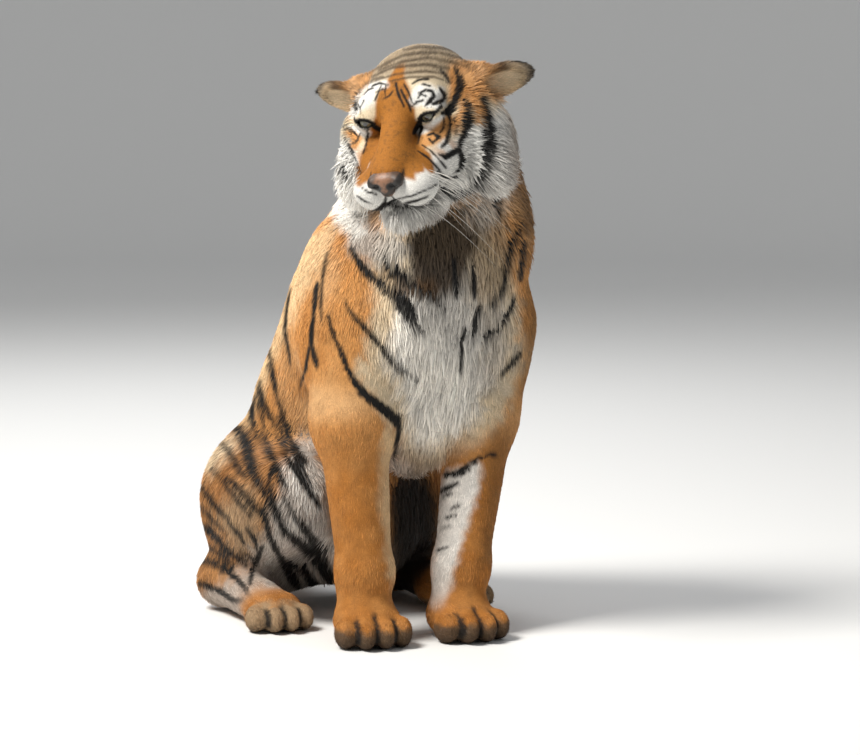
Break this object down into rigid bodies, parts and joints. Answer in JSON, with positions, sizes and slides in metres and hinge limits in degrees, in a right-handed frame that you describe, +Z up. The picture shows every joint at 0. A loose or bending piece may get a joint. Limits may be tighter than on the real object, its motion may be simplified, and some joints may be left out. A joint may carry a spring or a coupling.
{
  "type": "siberian tiger, sitting, life-size",
  "caption": "Life-size Siberian tiger sitting on its haunches, forelegs straight, head turned to its right, ears held sideways, tail curled on the floor.",
  "frame": {"origin": "middle of the outline seen from above, on the floor that the feet and tail rest on", "axes": "+Z up; the body faces -Y; the tiger's own right side is at -X, and its head is turned towards -X"},
  "size_m": [0.7992, 1.238, 1.0926],
  "materials": {
    "coat": "orange fur with black stripes, white below and on the face",
    "nose_leather": "bare nose leather, fine grain",
    "eye": "amber eye with a round pupil under a clear wet cornea",
    "whisker": "stiff white whiskers"
  },
  "bodies": {
    "root": {"nose": "nose_leather", "eye_right": "eye", "eye_left": "eye", "head": "coat", "ear_right": "coat", "ear_left": "coat", "neck": "coat", "torso_front": "coat", "torso_rear": "coat", "foreleg_right": "coat", "forepaw_right": "coat", "hindleg_right": "coat", "hindpaw_right": "coat", "foreleg_left": "coat", "forepaw_left": "coat", "hindleg_left": "coat", "hindpaw_left": "coat", "tail_base": "coat", "tail_middle": "coat", "tail_tip": "coat"}
  },
  "joints": []
}
